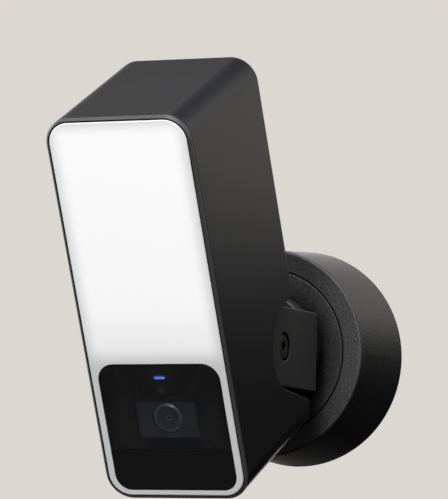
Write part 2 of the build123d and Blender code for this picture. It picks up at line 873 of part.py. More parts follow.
pad_depth = pivot_depth - channel_r + lug_pad_back - housing_wall - lug_pad_deep / 2
with BuildPart() as lug_screws:
    with BuildSketch(in_head(pad_depth)):
        with Locations(*lug_screw_places):
            Circle(arm_screw_head_r)
    extrude(amount=arm_screw_head)
    with BuildSketch(in_head(pad_depth)):
        with Locations(*lug_screw_places):
            Circle(lug_screw_r)
    extrude(amount=-lug_screw_bite)
keep("lug_screws", lug_screws.part)

pivot_seat = arm_half_w - recess_depth
with BuildPart() as pivots:
    for direction in (-1, 1):
        with BuildSketch(arm_side.offset(direction * pivot_seat)):
            Circle(pivot_head_r)
        extrude(amount=direction * pivot_head)
        with BuildSketch(arm_side.offset(direction * pivot_seat)):
            Circle(pivot_r)
        extrude(amount=-direction * (pivot_seat - barrel_half + pivot_bite))
        with BuildSketch(arm_side.offset(direction * (pivot_seat + pivot_head))):
            RegularPolygon(hex_flats / 2, 6, major_radius=False)
        extrude(amount=-direction * hex_depth, mode=Mode.SUBTRACT)
    chamfer(pivots.edges().filter_by(GeomType.CIRCLE).group_by(Axis.X)[0], pivot_edge)
    chamfer(pivots.edges().filter_by(GeomType.CIRCLE).group_by(Axis.X)[-1], pivot_edge)
keep("hinge_screws", pivots.part)

# Front: seal, diffuser, glass, sensor cover, mask and carrier
seal_thick = rebate - diffuser_back
with BuildPart() as seal:
    with BuildSketch(in_head(diffuser_back)):
        RectangleRounded(diffuser_w, diffuser_h, diffuser_r)
        RectangleRounded(cavity_w, cavity_h, cavity_r, mode=Mode.SUBTRACT)
    extrude(amount=-seal_thick)
keep("front_seal", seal.part)


def panel_face(shrink, top=panel_top, bottom=panel_bottom):
    """Panel outline between two heights, moved inwards by shrink."""
    w = panel_w / 2 - shrink
    high = panel_top - shrink
    low = panel_bottom + shrink
    with BuildSketch() as face:
        with BuildLine():
            Polyline((-w, low), (w, low), (w, high), (-w, high), close=True)
        make_face()
        corners = face.vertices()
        fillet(corners.group_by(Axis.Y)[-1], panel_top_r - shrink)
        fillet(face.vertices().group_by(Axis.Y)[0], panel_bottom_r - shrink)
        with Locations((0, (top + bottom) / 2)):
            Rectangle(2 * panel_w, top - bottom, mode=Mode.INTERSECT)
    return face.sketch


with BuildPart() as diffuser:
    with BuildSketch(in_head(-front_proud)):
        RectangleRounded(diffuser_w, diffuser_h, diffuser_r)
    extrude(amount=-diffuser_thick)
    fillet(diffuser.faces().sort_by(out_of_head)[-1].edges(), diffuser_edge)
    with BuildSketch(in_head(-front_proud)):
        add(panel_face(-panel_gap, panel_top + panel_gap, panel_bottom - panel_gap))
    extrude(amount=-diffuser_thick, mode=Mode.SUBTRACT)
    with BuildSketch(in_head(diffuser_skin - front_proud)):
        with Locations((0, lightbox_up)):
            RectangleRounded(
                lightbox_w - thin_border, lightbox_h - thin_border, diffuser_r - thin_border
            )
    extrude(amount=-diffuser_thick, mode=Mode.SUBTRACT)
keep("diffuser", diffuser.part)

with BuildPart() as glass:
    with BuildSketch(in_head(-front_proud)):
        add(panel_face(0, panel_top, panel_split + split_gap / 2))
    extrude(amount=-glass_thick)
keep("front_glass", glass.part)

with BuildPart() as pir_cover:
    with BuildSketch(in_head(-front_proud)):
        add(panel_face(0, panel_split - split_gap / 2, panel_bottom))
    extrude(amount=-glass_thick)
keep("motion_lens", pir_cover.part)

with BuildPart() as mask:
    with BuildSketch(in_head(glass_back)):
        add(panel_face(0))
        with Locations((0, window_up)):
            RectangleRounded(window_w, window_h, window_r, mode=Mode.SUBTRACT)
        with Locations((0, status_up)):
            SlotOverall(status_w, status_h, mode=Mode.SUBTRACT)
        with Locations((0, dusk_up)):
            Circle(dusk_r, mode=Mode.SUBTRACT)
        with Locations((0, pir_up)):
            RectangleRounded(pir_w, pir_h, pir_r, mode=Mode.SUBTRACT)
    extrude(amount=-mask_thick)
keep("glass_mask", mask.part)

carrier_w = cavity_w - 2 * carrier_gap
carrier_low = -(cavity_h / 2 - carrier_gap)
carrier_high = lightbox_bottom - 2 * carrier_gap
carrier_posts = [
    (sx * (front_board_w / 2 - carrier_board_inset), up) for sx in (-1, 1) for up in carrier_board_ups
]
with BuildPart() as carrier:
    with BuildSketch(in_head(carrier_front)):
        add(panel_face(carrier_panel_inset))
    extrude(amount=carrier_front - diffuser_back)
    with BuildSketch(in_head(diffuser_back)):
        with Locations((0, (carrier_high + carrier_low) / 2)):
            RectangleRounded(carrier_w, carrier_high - carrier_low, cavity_r - carrier_gap)
    extrude(amount=-carrier_flange)
    with BuildSketch(in_head(diffuser_back + carrier_flange)):
        with Locations(*carrier_posts):
            Circle(standoff_r)
    extrude(amount=diffuser_back + carrier_flange - front_board_depth)
    with BuildSketch(in_head(carrier_front)):
        with Locations((0, window_up)):
            RectangleRounded(window_w, window_h, window_r)
    extrude(amount=-window_depth, mode=Mode.SUBTRACT)
    with BuildSketch(in_head(carrier_front)):
        with Locations((0, window_up)):
            Circle(lens_r + lens_gap)
        with Locations((0, status_up)):
            SlotOverall(status_w, status_h)
        with Locations((0, dusk_up)):
            Circle(dusk_r)
        with Locations((0, pir_up)):
            RectangleRounded(pir_w, pir_h, pir_r)
    extrude(amount=-front_board_depth, mode=Mode.SUBTRACT)
keep("camera_carrier", carrier.part)

with BuildPart() as status:
    with BuildSketch(in_head(glass_back)):
        with Locations((0, status_up)):
            SlotOverall(status_w - 2 * pipe_gap, status_h - 2 * pipe_gap)
    extrude(amount=glass_back - front_board_depth + pipe_board_gap)
keep("status_light_pipe", status.part)
keep(
    "dusk_light_pipe",
    head_rod(dusk_r - pipe_gap, [(0, dusk_up)], glass_back, front_board_depth - pipe_board_gap),
)

# Camera module
throat_depth = lens_front + barrel_funnel
with BuildPart() as barrel:
    with BuildSketch(in_head(lens_front)):
        with Locations((0, window_up)):
            Circle(lens_r)
    extrude(amount=lens_front - sensor_board_depth)
    with BuildSketch(in_head(lens_front)):
        with Locations((0, window_up)):
            Circle(lens_r - barrel_mouth_wall)
    with BuildSketch(in_head(throat_depth)):
        with Locations((0, window_up)):
            Circle(lens_r - barrel_throat_wall)
    loft(mode=Mode.SUBTRACT)
    with BuildSketch(in_head(throat_depth)):
        with Locations((0, window_up)):
            Circle(lens_r - barrel_throat_wall)
    extrude(amount=-barrel_bore, mode=Mode.SUBTRACT)
keep("lens_barrel", barrel.part)

lens_glass_r = lens_r - barrel_throat_wall - 2 * seat_fit
with BuildPart() as lens:
    with BuildSketch(in_head(lens_front + lens_sink)):
        with Locations((0, window_up)):
            Circle(lens_glass_r)
    extrude(amount=-lens_thick)
    fillet(lens.faces().sort_by(out_of_head)[-1].edges(), lens_bulge)
keep("lens_glass", lens.part)
rear_lens_front = lens_front + rear_lens_gap
keep(
    "lens_rear_element",
    head_rod(lens_glass_r, [(0, window_up)], rear_lens_front, rear_lens_front + rear_lens_thick),
)

with BuildPart() as holder:
    with BuildSketch(in_head(sensor_board_depth - holder_deep)):
        with Locations((0, window_up)):
            RectangleRounded(holder_w, holder_w, holder_r)
            Circle(lens_r + seat_fit, mode=Mode.SUBTRACT)
    extrude(amount=-holder_deep)
keep("lens_holder", holder.part)

with BuildPart() as sensor_board:
    with BuildSketch(in_head(sensor_board_depth)):
        with Locations((0, window_up)):
            RectangleRounded(sensor_board_w, sensor_board_w, sensor_board_r)
    extrude(amount=-board_thick)
    with BuildSketch(in_head(sensor_board_depth + board_thick)):
        with Locations((0, window_up)):
            Rectangle(sensor_plug[0], sensor_plug[1])
    extrude(amount=-sensor_plug[2])
keep("image_sensor_board", sensor_board.part)

with BuildPart() as front_board:
    with BuildSketch(in_head(front_board_depth)):
        with Locations((0, panel_up)):
            RectangleRounded(front_board_w, panel_h - 2 * front_board_rim, front_board_r)
        with Locations((0, window_up)):
            Circle(lens_r + front_board_bore_gap, mode=Mode.SUBTRACT)
    extrude(amount=-board_thick)
    with BuildSketch(in_head(front_board_depth)):
        with Locations((0, status_up), (0, dusk_up)):
            Rectangle(light_chip[0], light_chip[1])
    extrude(amount=light_chip[2])
keep("front_board", front_board.part)

with BuildPart() as pir:
    with BuildSketch(in_head(front_board_depth)):
        with Locations((0, pir_up)):
            Circle(pir_base_r)
    extrude(amount=pir_base)
    with BuildSketch(in_head(front_board_depth - pir_base)):
        with Locations((0, pir_up)):
            Circle(pir_can_r)
    extrude(amount=pir_can)
    with BuildSketch(in_head(front_board_depth - pir_base - pir_can)):
        with Locations((0, pir_up)):
            Rectangle(pir_pane[0], pir_pane[1])
    extrude(amount=-pir_pane[2], mode=Mode.SUBTRACT)
keep("motion_sensor", pir.part)

# Light engine
with BuildPart() as lightbox:
    with BuildSketch(in_head(diffuser_back)):
        with Locations((0, lightbox_up)):
            RectangleRounded(lightbox_w, lightbox_h, lightbox_r)
            RectangleRounded(
                lightbox_w - 2 * lightbox_wall,
                lightbox_h - 2 * lightbox_wall,
                lightbox_r - lightbox_wall,
                mode=Mode.SUBTRACT,
            )
    extrude(amount=diffuser_back - led_board_depth)
keep("light_box", lightbox.part)
keep(
    "led_board",
    head_block(lightbox_w, lightbox_h, lightbox_r, lightbox_up, led_board_depth, sink_front),
)

with BuildPart() as leds:
    with BuildSketch(in_head(led_board_depth)):
        with Locations((0, lightbox_up)):
            with GridLocations(led_pitch, led_pitch, led_cols, led_rows):
                Rectangle(led_size, led_size)
    extrude(amount=led_thick)
keep("floodlight_leds", leds.part)

sink_w = cavity_w - 2 * sink_side_gap
standoff_places = [
    (sx * (main_board_w / 2 - main_post_inset), main_board_up + sz * main_post_pitch / 2)
    for sx in (-1, 1)
    for sz in (-1, 1)
]
with BuildPart() as sink:
    with BuildSketch(in_head(sink_front)):
        with Locations((0, lightbox_up)):
            RectangleRounded(sink_w, lightbox_h, sink_r)
    extrude(amount=-sink_plate)
    with BuildSketch(in_head(sink_front + sink_plate)):
        with Locations((0, lightbox_up)):
            with GridLocations(fin_pitch, 0, fin_count, 1):
                Rectangle(fin_thick, lightbox_h - 2 * fin_margin)
    extrude(amount=-fin_height)
    with BuildSketch(in_head(sink_front + sink_plate)):
        with Locations(*standoff_places):
            Circle(standoff_r)
    extrude(amount=sink_front + sink_plate - main_board_depth)
keep("heat_sink", sink.part)

with BuildPart() as main_board:
    with BuildSketch(in_head(main_board_depth)):
        with Locations((0, main_board_up)):
            RectangleRounded(main_board_w, main_board_h, main_board_r)
        with Locations(*standoff_places):
            Circle(screw_r + screw_play, mode=Mode.SUBTRACT)
    extrude(amount=-board_thick)
keep("main_board", main_board.part)
main_back = main_board_depth + board_thick
with BuildPart() as board_screws:
    with BuildSketch(in_head(main_back)):
        with Locations(*standoff_places):
            Circle(screw_head_r)
    extrude(amount=-screw_head)
    with BuildSketch(in_head(main_back)):
        with Locations(*standoff_places):
            Circle(screw_r)
    extrude(amount=board_thick)
keep("board_screws", board_screws.part)
keep(
    "radio_shield",
    head_block(shield_size[0], shield_size[1], shield_r, shield_up, main_back, main_back + shield_size[2]),
)
with BuildPart() as chips:
    with BuildSketch(in_head(main_back)):
        for spot, size in chip_spots:
            with Locations(spot):
                Rectangle(size[0], size[1])
    extrude(amount=-chip_thick)
keep("board_chips", chips.part)

# Speaker and microphone over their openings in the sleeve's floor
floor_inside = sleeve_floor.offset(-head_wall)
with BuildPart() as speaker:
    with BuildSketch(floor_inside):
        with Locations((0, -speaker_depth)):
            Circle(speaker_r)
    extrude(amount=-speaker_basket)
    with BuildSketch(floor_inside.offset(-speaker_basket)):
        with Locations((0, -speaker_depth)):
            Circle(speaker_magnet_r)
    extrude(amount=speaker_basket - speaker_thick)
    with BuildSketch(floor_inside):
        with Locations((0, -speaker_depth)):
            Circle(speaker_cone_r)
    extrude(amount=-speaker_cone_sink, mode=Mode.SUBTRACT)
keep("speaker", speaker.part)
with BuildPart() as microphone:
    with BuildSketch(floor_inside):
        with Locations((mic_x, -mic_depth)):
            Circle(mic_r)
    extrude(amount=-mic_thick)
keep("microphone", microphone.part)

os.makedirs("parts", exist_ok=True)
for name, shape in nodes.items():
    export_step(shape, f"parts/{name}.step")
print(len(nodes), "nodes")
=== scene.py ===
import json
from math import cos, pi, radians, sin

import bpy
import numpy as np
from mathutils import Matrix, Vector


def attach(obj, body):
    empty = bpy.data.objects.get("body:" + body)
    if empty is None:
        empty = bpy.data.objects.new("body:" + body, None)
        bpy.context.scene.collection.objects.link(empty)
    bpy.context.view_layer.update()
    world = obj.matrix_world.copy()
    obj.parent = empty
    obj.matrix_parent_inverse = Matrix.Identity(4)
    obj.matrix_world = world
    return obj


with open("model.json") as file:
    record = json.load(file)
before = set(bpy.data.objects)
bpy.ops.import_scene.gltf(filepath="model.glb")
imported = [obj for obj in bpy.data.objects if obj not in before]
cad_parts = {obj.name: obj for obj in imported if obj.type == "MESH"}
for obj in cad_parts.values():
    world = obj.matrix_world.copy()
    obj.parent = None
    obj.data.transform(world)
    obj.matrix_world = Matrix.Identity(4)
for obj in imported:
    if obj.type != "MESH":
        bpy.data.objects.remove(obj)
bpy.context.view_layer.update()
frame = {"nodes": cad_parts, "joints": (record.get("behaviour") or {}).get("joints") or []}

nodes = frame["nodes"]
joints = {joint["name"]: joint for joint in frame["joints"]}
print("frame loaded:", len(nodes), "nodes")


# head frame: across, into the head and up its front
headTilt = {"degrees": 26.1, "pivotDepth": 0.0871, "pivotUp": -0.0569}
hinge = Vector(joints["head_tilt"]["pos_m"])
tilt = radians(headTilt["degrees"])
across = Vector((1, 0, 0))
inward = Vector((0, cos(tilt), sin(tilt)))
upward = Vector((0, -sin(tilt), cos(tilt)))
frontCentre = hinge - inward * headTilt["pivotDepth"] - upward * headTilt["pivotUp"]


def toHead(points):
    # head coordinates (across, depth, up) to the shared frame: centre + x across + y inward + z upward
    points = np.asarray(points, float)
    axes = np.array([across, inward, upward])
    return points @ axes + np.array(frontCentre)


# camera
shot = {
    "azimuth": 23.34,
    "elevation": -5.29,
    "roll": 1.143,
    "place": (0.85774, -2.11124, -0.14421),
    "lens": 268.2,
    "sensor": 36.0,
    "clipEnd": 50.0,
}


def makeCamera(s):
    az, el, roll = (radians(s[key]) for key in ("azimuth", "elevation", "roll"))
    back = Vector((sin(az) * cos(el), -cos(az) * cos(el), sin(el)))
    level = Vector((cos(az), sin(az), 0))
    rise = back.cross(level)
    right = level * cos(roll) + rise * sin(roll)
    top = rise * cos(roll) - level * sin(roll)
    data = bpy.data.cameras.new("camera")
    data.lens = s["lens"]
    data.sensor_width = s["sensor"]
    data.clip_end = s["clipEnd"]
    cam = bpy.data.objects.new("camera", data)
    turn = Matrix((right, top, back)).transposed().to_4x4()
    cam.matrix_world = Matrix.Translation(s["place"]) @ turn
    bpy.context.scene.collection.objects.link(cam)
    bpy.context.scene.camera = cam


makeCamera(shot)
bpy.context.scene.view_settings.view_transform = "Standard"
print("camera placed")


# node helpers
def srgb(r, g, b, a=1.0):
    # display values 0 to 255 to linear light
    v = np.array([r, g, b]) / 255
    lin = np.where(v <= 0.04045, v / 12.92, ((v + 0.055) / 1.055) ** 2.4)
    return (*[float(c) for c in lin], a)


def addNode(tree, kind, inputs=None, **props):
    node = tree.nodes.new(kind)
    for key, value in props.items():
        setattr(node, key, value)
    for key, value in (inputs or {}).items():
        socket = node.inputs[key]
        if isinstance(value, bpy.types.NodeSocket):
            tree.links.new(value, socket)
        else:
            socket.default_value = value
    return node


def newGroup(name, ins, outs):
    tree = bpy.data.node_groups.new(name, "ShaderNodeTree")
    for label, kind, value in ins:
        socket = tree.interface.new_socket(label, in_out="INPUT", socket_type=kind)
        socket.default_value = value
    for label, kind in outs:
        tree.interface.new_socket(label, in_out="OUTPUT", socket_type=kind)
    return tree, tree.nodes.new("NodeGroupInput"), tree.nodes.new("NodeGroupOutput")


def blendColour(tree, factor, first, second, mode="MIX"):
    colours = {0: factor, 6: first, 7: second}
    return addNode(tree, "ShaderNodeMix", colours, data_type="RGBA", blend_type=mode).outputs[2]


def calc(tree, operation, a, b=0.0, clamp=False):
    return addNode(tree, "ShaderNodeMath", {0: a, 1: b}, operation=operation, use_clamp=clamp).outputs[0]


def objectPlace(tree):
    return addNode(tree, "ShaderNodeTexCoord").outputs["Object"]


def heightOnHead(tree, place, axis):
    # how far up the head's front a point lies: place . up
    node = addNode(tree, "ShaderNodeVectorMath", {0: place, 1: axis}, operation="DOT_PRODUCT")
    return node.outputs["Value"]


floatKind, vectorKind = "NodeSocketFloat", "NodeSocketVector"


grainMix = {
    "fine": 0.6, "cell": 0.4, "fineDetail": 3.0, "slowDetail": 4.0,
    "patchRough": 0.65, "patchLow": 0.32, "patchHigh": 0.68,
}


def grainGroup(m):
    # fine grain and slower mottle as a height, mottle and cloud as a tone, and a roughness that wanders
    tree, gin, gout = newGroup(
        "coatGrain",
        [("Grain Size", floatKind, 2200.0), ("Mottle Size", floatKind, 600.0),
         ("Cloud Size", floatKind, 18.0), ("Mottle", floatKind, 0.4),
         ("Roughness", floatKind, 0.5), ("Spread", floatKind, 0.1)],
        [("Height", floatKind), ("Tone", floatKind), ("Roughness", floatKind)],
    )
    place = objectPlace(tree)
    fine = addNode(tree, "ShaderNodeTexNoise", {
        "Vector": place, "Scale": gin.outputs["Grain Size"], "Detail": m["fineDetail"]})
    cell = addNode(tree, "ShaderNodeTexVoronoi", {"Vector": place, "Scale": gin.outputs["Grain Size"]})
    patch = addNode(tree, "ShaderNodeTexNoise", {
        "Vector": place, "Scale": gin.outputs["Mottle Size"], "Detail": m["slowDetail"],
        "Roughness": m["patchRough"]})
    slow = addNode(tree, "ShaderNodeTexNoise", {
        "Vector": place, "Scale": gin.outputs["Cloud Size"], "Detail": m["slowDetail"]})
    pebble = calc(tree, "ADD", calc(tree, "MULTIPLY", fine.outputs[0], m["fine"]),
                  calc(tree, "MULTIPLY", cell.outputs[0], m["cell"]))
    sharp = addNode(tree, "ShaderNodeMapRange", {
        "Value": patch.outputs[0], "From Min": m["patchLow"], "From Max": m["patchHigh"]}).outputs[0]
    height = calc(tree, "ADD", pebble, calc(tree, "MULTIPLY", sharp, gin.outputs["Mottle"]))
    mottled = calc(tree, "MULTIPLY", calc(tree, "SUBTRACT", sharp, 0.5), gin.outputs["Mottle"])
    tone = calc(tree, "ADD", slow.outputs[0], mottled, clamp=True)
    wander = calc(tree, "MULTIPLY", calc(tree, "SUBTRACT", tone, 0.5), gin.outputs["Spread"])
    rough = calc(tree, "ADD", gin.outputs["Roughness"], wander, clamp=True)
    tree.links.new(height, gout.inputs["Height"])
    tree.links.new(tone, gout.inputs["Tone"])
    tree.links.new(rough, gout.inputs["Roughness"])
    return tree


edgeMix = {"samples": 6, "gain": 4.0, "detail": 5.0, "uneven": 0.8, "least": 0.4}


def edgeGroup(m):
    # edge mask for a paler tone, partly wear and partly painted highlight: how far the rounded normal leans
    # from the true one, partly broken up by noise
    tree, gin, gout = newGroup(
        "edgeWearAndHighlight",
        [("Width", floatKind, 0.0008), ("Amount", floatKind, 1.0), ("Break Up", floatKind, 260.0)],
        [("Mask", floatKind), ("Normal", vectorKind)],
    )
    bevel = addNode(tree, "ShaderNodeBevel", {"Radius": gin.outputs["Width"]}, samples=m["samples"])
    true = addNode(tree, "ShaderNodeNewGeometry").outputs["Normal"]
    dot = addNode(tree, "ShaderNodeVectorMath", {0: bevel.outputs[0], 1: true}, operation="DOT_PRODUCT")
    lean = calc(tree, "MULTIPLY", calc(tree, "SUBTRACT", 1.0, dot.outputs["Value"]), m["gain"], clamp=True)
    noise = addNode(tree, "ShaderNodeTexNoise", {
        "Vector": objectPlace(tree), "Scale": gin.outputs["Break Up"], "Detail": m["detail"]})
    uneven = calc(tree, "ADD", calc(tree, "MULTIPLY", noise.outputs[0], m["uneven"]), m["least"])
    amount = calc(tree, "MULTIPLY", uneven, gin.outputs["Amount"])
    tree.links.new(calc(tree, "MULTIPLY", lean, amount, clamp=True), gout.inputs["Mask"])
    tree.links.new(bevel.outputs[0], gout.inputs["Normal"])
    return tree


def boxGroup():
    # soft box mask in the head's own across and up: 1 inside, falling to 0 over Soft at each edge
    tree, gin, gout = newGroup(
        "headBox",
        [("Up Axis", vectorKind, tuple(upward)), ("Middle", floatKind, 0.0),
         ("Half Width", floatKind, 0.04), ("Half Height", floatKind, 0.04), ("Soft", floatKind, 0.005)],
        [("Mask", floatKind)],
    )
    place = objectPlace(tree)
    side = addNode(tree, "ShaderNodeSeparateXYZ", {0: place}).outputs[0]
    up = heightOnHead(tree, place, gin.outputs["Up Axis"])
    rise = calc(tree, "SUBTRACT", up, gin.outputs["Middle"])
    masks = []
    for value, half in ((side, "Half Width"), (rise, "Half Height")):
        room = calc(tree, "SUBTRACT", gin.outputs[half], calc(tree, "ABSOLUTE", value))
        ramp = addNode(tree, "ShaderNodeMapRange", {
            "Value": calc(tree, "DIVIDE", room, gin.outputs["Soft"]), "From Min": -0.5, "From Max": 0.5},
            interpolation_type="SMOOTHSTEP")
        masks.append(ramp.outputs[0])
    tree.links.new(calc(tree, "MULTIPLY", masks[0], masks[1]), gout.inputs["Mask"])
    return tree


coatGrain = grainGroup(grainMix)
edgeWearAndHighlight = edgeGroup(edgeMix)
headBox = boxGroup()


def placeGroup(tree, group, **values):
    node = tree.nodes.new("ShaderNodeGroup")
    node.node_tree = group
    for key, value in values.items():
        node.inputs[key].default_value = value
    return node


def newMaterial(name):
    material = bpy.data.materials.new(name)
    material.use_nodes = True
    tree = material.node_tree
    return material, tree, tree.nodes["Principled BSDF"]


def grey(value, tint=(1.0, 1.0, 1.0)):
    return (value * tint[0], value * tint[1], value * tint[2], 1.0)


grainSockets = {
    "grain": "Grain Size", "mottleSize": "Mottle Size", "cloud": "Cloud Size",
    "mottle": "Mottle", "rough": "Roughness", "spread": "Spread",
}


def placeGrain(tree, look):
    # values that a look leaves out stay at the group's own
    values = {label: look[key] for key, label in grainSockets.items() if key in look}
    return placeGroup(tree, coatGrain, **values)


nookRange = {"samples": 8, "closed": 0.35, "open": 0.95}


def paintedNookShade(tree, look):
    # painted shade, as light left where the surface is closed in: "nook" deep inside, 1 in the open
    openness = addNode(tree, "ShaderNodeAmbientOcclusion", {"Distance": look["nookSize"]},
                       samples=nookRange["samples"]).outputs["AO"]
    return addNode(tree, "ShaderNodeMapRange", {
        "Value": openness, "From Min": nookRange["closed"], "From Max": nookRange["open"],
        "To Min": look["nook"], "To Max": 1.0}).outputs[0]


def coatedMaterial(name, look):
    # coat, plastic, rubber or metal: mottled colour, grain in bump and roughness, a paler edge tone that is
    # partly wear and partly painted highlight
    material, tree, shader = newMaterial(name)
    grain = placeGrain(tree, look)
    edge = placeGroup(tree, edgeWearAndHighlight, **{"Width": look["edge"], "Amount": look["wearAndHighlight"]})
    body = blendColour(tree, grain.outputs["Tone"], look["dark"], look["light"])
    shader.inputs["Specular IOR Level"].default_value = look.get("gloss", 0.5)
    if "nook" in look:
        # painted shade: colour and gloss darkened in nooks, where parts close in on each other
        level = paintedNookShade(tree, look)
        shade = addNode(tree, "ShaderNodeCombineColor", {k: level for k in ("Red", "Green", "Blue")})
        body = blendColour(tree, 1.0, body, shade.outputs[0], mode="MULTIPLY")
        tree.links.new(calc(tree, "MULTIPLY", level, look["gloss"]), shader.inputs["Specular IOR Level"])
    # paler edges: partly wear, partly painted highlight
    wornAndHighlight = blendColour(tree, edge.outputs["Mask"], body, look["wornAndHighlight"])
    bump = addNode(tree, "ShaderNodeBump", {
        "Strength": look["bump"], "Distance": look["depth"], "Height": grain.outputs["Height"],
        "Normal": edge.outputs["Normal"]})
    tree.links.new(wornAndHighlight, shader.inputs["Base Color"])
    tree.links.new(grain.outputs["Roughness"], shader.inputs["Roughness"])
    tree.links.new(bump.outputs[0], shader.inputs["Normal"])
    shader.inputs["Metallic"].default_value = look.get("metal", 0.0)
    shader.inputs["Specular Tint"].default_value = look.get("sheen", grey(1.0))
    return material


# tints multiply a grey; a sheen tints the gloss
cool, slate, lensTint = (0.97, 0.99, 1.04), (0.92, 0.98, 1.12), (0.94, 0.98, 1.08)
bezelTint, dishTint, duskTint = (0.99, 0.99, 1.03), (0.94, 1.0, 1.03), (0.96, 0.98, 1.06)
neutralSheen = (0.84, 0.87, 1.0, 1.0)
softSheen = (0.93, 0.95, 1.0, 1.0)

# values that coats share: the outer shells, the inner pieces, and the lens pieces behind the glass
shell = dict(depth=0.0002, edge=0.0008, wearAndHighlight=0.9, sheen=softSheen)
head = dict(shell, spread=0.08, grain=2600.0, cloud=14.0, mottleSize=900.0, mottle=0.2)
inner = dict(spread=0.1, bump=0.2, depth=0.0001, edge=0.0003)
metal = dict(inner, spread=0.15)
lens = dict(inner, grain=3000.0, cloud=120.0, mottle=0.2, bump=0.1, wearAndHighlight=1.0)
board = dict(inner, edge=0.0002)

coats = {
    "headCoat": dict(head, dark=grey(0.009, cool), light=grey(0.014, cool), wornAndHighlight=grey(0.08, cool),
                     rough=0.38, gloss=0.40, bump=0.18, sheen=neutralSheen),
    # trim: a pale grey that paints the highlight on the trim's bevel
    "trimCoat": dict(head, dark=grey(0.060), light=grey(0.075), wornAndHighlight=grey(0.12),
                     rough=0.32, gloss=0.7, bump=0.12, edge=0.0002, wearAndHighlight=0.5),
    # arm and disc: "nook" paints shade in colour and gloss where arm and disc close in on each other
    "armCoat": dict(shell, dark=grey(0.034), light=grey(0.048), wornAndHighlight=grey(0.15),
                    rough=0.44, gloss=0.4, spread=0.12, grain=2400.0, cloud=22.0,
                    mottleSize=700.0, mottle=0.6, bump=0.3, nook=0.15, nookSize=0.022),
    "discCoat": dict(shell, dark=grey(0.026), light=grey(0.058), wornAndHighlight=grey(0.14),
                     rough=0.46, gloss=0.45, spread=0.16, grain=1600.0, cloud=22.0,
                     mottleSize=520.0, mottle=1.2, bump=0.5, nook=0.02, nookSize=0.032),
    "mountPlastic": dict(shell, dark=grey(0.020), light=grey(0.039), wornAndHighlight=grey(0.09),
                         rough=0.44, gloss=0.47, spread=0.12, grain=1900.0, cloud=16.0,
                         mottleSize=600.0, mottle=1.1, bump=0.4, wearAndHighlight=0.7),
    "blackPlastic": dict(inner, dark=grey(0.006), light=grey(0.009), wornAndHighlight=grey(0.02),
                         rough=0.55, grain=2600.0, cloud=40.0, wearAndHighlight=0.3),
    "slatePlastic": dict(inner, dark=grey(0.030, slate), light=grey(0.038, slate), wornAndHighlight=grey(0.07),
                         rough=0.5, grain=2600.0, cloud=60.0, mottle=0.2, bump=0.15, wearAndHighlight=0.4),
    "lensBlack": dict(lens, dark=grey(0.034, lensTint), light=grey(0.044, lensTint), wornAndHighlight=grey(0.20),
                      rough=0.34),
    # pale grey for bezel and iris: painted highlight on the lens ring and glint round the pupil
    "bezelPaintedHighlight": dict(lens, dark=grey(0.10, bezelTint), light=grey(0.125, bezelTint), wornAndHighlight=grey(0.22),
                       rough=0.30),
    "dishSlate": dict(lens, dark=grey(0.036, dishTint), light=grey(0.050, dishTint), wornAndHighlight=grey(0.08),
                      rough=0.35, wearAndHighlight=0.6),
    "rubberBlack": dict(inner, dark=grey(0.004), light=grey(0.006), wornAndHighlight=grey(0.010),
                        rough=0.9, gloss=0.2, grain=1500.0, cloud=60.0, bump=0.4, depth=0.0002, wearAndHighlight=0.2),
    "zincSteel": dict(metal, dark=grey(0.42), light=grey(0.55, (1.0, 0.99, 0.95)), wornAndHighlight=grey(0.7),
                      rough=0.38, spread=0.2, grain=900.0, cloud=70.0, wearAndHighlight=0.6, metal=0.55),
    "blackSteel": dict(metal, dark=grey(0.030), light=grey(0.045), wornAndHighlight=grey(0.16),
                       rough=0.42, grain=1800.0, cloud=120.0, wearAndHighlight=0.9, metal=0.6),
    "bareAluminium": dict(metal, dark=grey(0.52), light=grey(0.62), wornAndHighlight=grey(0.75),
                          rough=0.4, grain=800.0, cloud=50.0, wearAndHighlight=0.5, metal=1.0),
    "brassNickel": dict(metal, dark=(0.55, 0.42, 0.2, 1), light=(0.68, 0.54, 0.28, 1),
                        wornAndHighlight=(0.8, 0.7, 0.45, 1), rough=0.35, grain=1200.0, cloud=90.0,
                        edge=0.0002, wearAndHighlight=0.6, metal=1.0),
    "whitePlastic": dict(inner, dark=grey(0.72), light=grey(0.8), wornAndHighlight=grey(0.82),
                         rough=0.45, grain=1600.0, cloud=30.0, wearAndHighlight=0.2),
    "greyPlastic": dict(inner, dark=grey(0.25), light=grey(0.31), wornAndHighlight=grey(0.4),
                        rough=0.5, grain=1600.0, cloud=60.0, bump=0.3, wearAndHighlight=0.4),
    "boardGreen": dict(board, dark=(0.01, 0.07, 0.03, 1), light=(0.02, 0.11, 0.05, 1),
                       wornAndHighlight=(0.1, 0.14, 0.06, 1), rough=0.35, spread=0.2, grain=700.0, cloud=220.0,
                       bump=0.4, wearAndHighlight=0.5),
    "boardWhite": dict(board, dark=grey(0.7), light=grey(0.8), wornAndHighlight=grey(0.6),
                       rough=0.4, grain=900.0, cloud=200.0, bump=0.3, wearAndHighlight=0.3),
    "chipBlack": dict(board, dark=grey(0.012), light=grey(0.02), wornAndHighlight=grey(0.05),
                      rough=0.5, grain=2000.0, cloud=90.0, bump=0.3, wearAndHighlight=0.4),
    "ledPhosphor": dict(board, dark=(0.75, 0.6, 0.12, 1), light=(0.82, 0.7, 0.2, 1),
                        wornAndHighlight=(0.9, 0.85, 0.5, 1), rough=0.35, grain=1500.0, cloud=300.0,
                        bump=0.1, wearAndHighlight=0.2),
    "duskWindow": dict(board, dark=grey(0.060, duskTint), light=grey(0.085, duskTint), wornAndHighlight=grey(0.12),
                       rough=0.25, spread=0.05, grain=1500.0, cloud=200.0, mottle=0.1, bump=0.1, wearAndHighlight=0.3),
}
materials = {name: coatedMaterial(name, look) for name, look in coats.items()}

